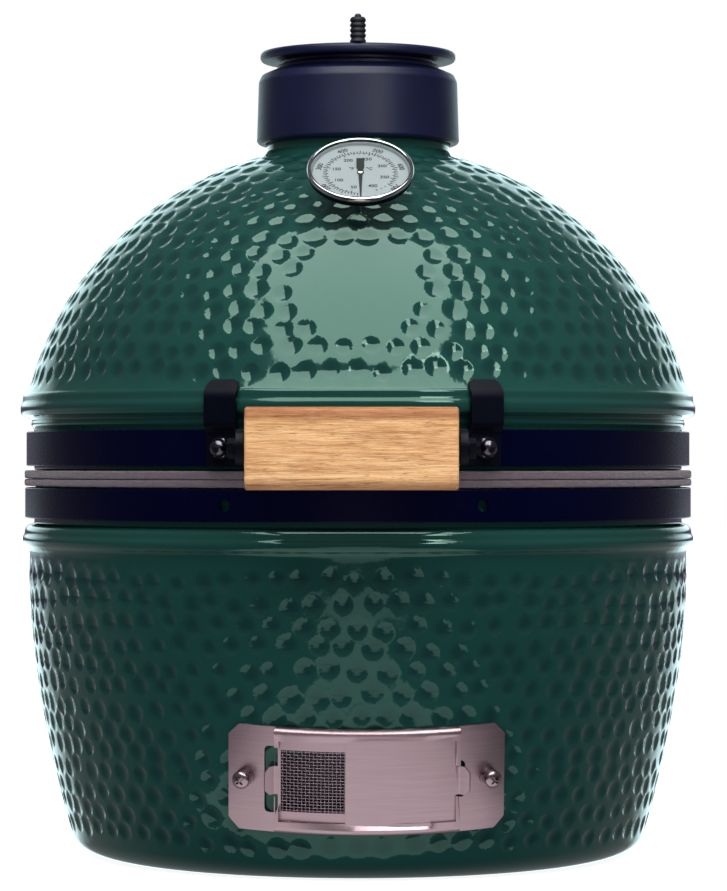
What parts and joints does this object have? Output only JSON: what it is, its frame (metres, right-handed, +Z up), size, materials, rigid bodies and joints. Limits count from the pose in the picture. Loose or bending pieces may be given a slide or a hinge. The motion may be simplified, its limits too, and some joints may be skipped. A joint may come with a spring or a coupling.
{
  "type": "kamado ceramic grill",
  "caption": "Kamado ceramic charcoal grill, table-top size: dimpled green base and hinged dome, cast chimney cap, dial thermometer, wooden lift handle and sliding draft door.",
  "frame": {"origin": "centre of the flat foot on the surface it stands on", "axes": "+Z up, -Y the front with the handle and draft door, +X to the right seen from the front"},
  "size_m": [0.403, 0.5007, 0.495],
  "materials": {
    "green_glaze": "glossy dark green glaze over pressed dimples",
    "fireclay": "unglazed sandy fireclay",
    "cast_iron": "satin black seasoned cast iron",
    "grid_steel": "bright stainless rod",
    "felt": "grey-mauve pressed felt",
    "black_steel": "semi-gloss black powder coat",
    "fastener": "polished stainless",
    "spring_steel": "drawn spring wire",
    "wood": "oiled straight-grained hardwood",
    "silicone": "matte dark moulded silicone",
    "gauge_case": "satin black",
    "gauge_steel": "polished rolled steel",
    "gauge_glass": "clear flat glass",
    "gauge_dial": null,
    "gauge_pointer": "matte black",
    "door_steel": "satin stainless sheet",
    "mesh_steel": "woven stainless wire"
  },
  "bodies": {
    "base": {"base_shell": "green_glaze", "fire_box": "fireclay", "fire_ring": "fireclay", "fire_grate": "cast_iron", "base_gasket": "felt", "lower_band": "black_steel", "lower_clamp_bolt_left": "fastener", "lower_clamp_bolt_right": "fastener", "lower_clamp_nut_left": "fastener", "lower_clamp_nut_right": "fastener", "hinge_lower_bracket": "black_steel", "hinge_pin": "fastener", "hinge_pin_nut": "fastener", "hinge_spring_left": "spring_steel", "hinge_spring_right": "spring_steel", "draft_frame": "door_steel", "draft_screw_left": "fastener", "draft_screw_right": "fastener", "draft_washer_left": "fastener", "draft_washer_right": "fastener"},
    "lid": {"dome_shell": "green_glaze", "dome_gasket": "felt", "upper_band": "black_steel", "upper_clamp_bolt_left": "fastener", "upper_clamp_bolt_right": "fastener", "upper_clamp_nut_left": "fastener", "upper_clamp_nut_right": "fastener", "hinge_upper_bracket": "black_steel", "handle_grip": "wood", "handle_bracket_left": "black_steel", "handle_bracket_right": "black_steel", "handle_bolt_left": "fastener", "handle_bolt_right": "fastener", "handle_stud_left": "fastener", "handle_stud_right": "fastener", "acorn_nut_left": "fastener", "acorn_nut_right": "fastener", "cap_collar": "cast_iron", "cap_pivot_bolt": "fastener", "thermometer_case": "gauge_case", "thermometer_bezel": "gauge_steel", "thermometer_lens": "gauge_glass", "thermometer_dial": "gauge_dial", "thermometer_probe": "gauge_steel", "thermometer_clip": "fastener"},
    "cap": {"cap_disc": "cast_iron", "cap_centre_screw": "fastener", "cap_grip_post": "cast_iron", "cap_grip": "silicone"},
    "daisy": {"daisy_wheel": "cast_iron"},
    "pointer": {"thermometer_pointer": "gauge_pointer"},
    "grid": {"cooking_grid": "grid_steel"},
    "screen": {"draft_screen": "door_steel", "draft_mesh": "mesh_steel"},
    "plate": {"draft_plate": "door_steel"}
  },
  "joints": [
    {"name": "dome_hinge", "type": "hinge", "parent": "base", "child": "lid", "pos_m": [0, 0.224, 0.223], "axis": [-1, 0, 0], "range_deg": [0, 75]},
    {"name": "cap_swing", "type": "hinge", "parent": "lid", "child": "cap", "pos_m": [0, 0.0495, 0.47], "axis": [0, 0, 1], "range_deg": [0, 120]},
    {"name": "daisy_turn", "type": "hinge", "parent": "cap", "child": "daisy", "pos_m": [0, 0, 0.472], "axis": [0, 0, 1], "range_deg": [0, 36]},
    {"name": "thermometer_needle", "type": "hinge", "parent": "lid", "child": "pointer", "pos_m": [0.00138, -0.14349, 0.39409], "axis": [-0.0062, 0.6428, -0.766], "range_deg": [0, 325]},
    {"name": "grid_lift", "type": "slide", "parent": "base", "child": "grid", "axis": [0, 0, 1], "range_m": [0, 0.03]},
    {"name": "screen_slide", "type": "hinge", "parent": "base", "child": "screen", "pos_m": [0.00001, -0.00025, 0.09448], "axis": [0.0056, -0.1993, 0.9799], "range_deg": [0, 11]},
    {"name": "plate_slide", "type": "hinge", "parent": "base", "child": "plate", "pos_m": [0.00001, -0.00025, 0.09448], "axis": [0.0056, -0.1993, 0.9799], "range_deg": [-11, 0]}
  ]
}
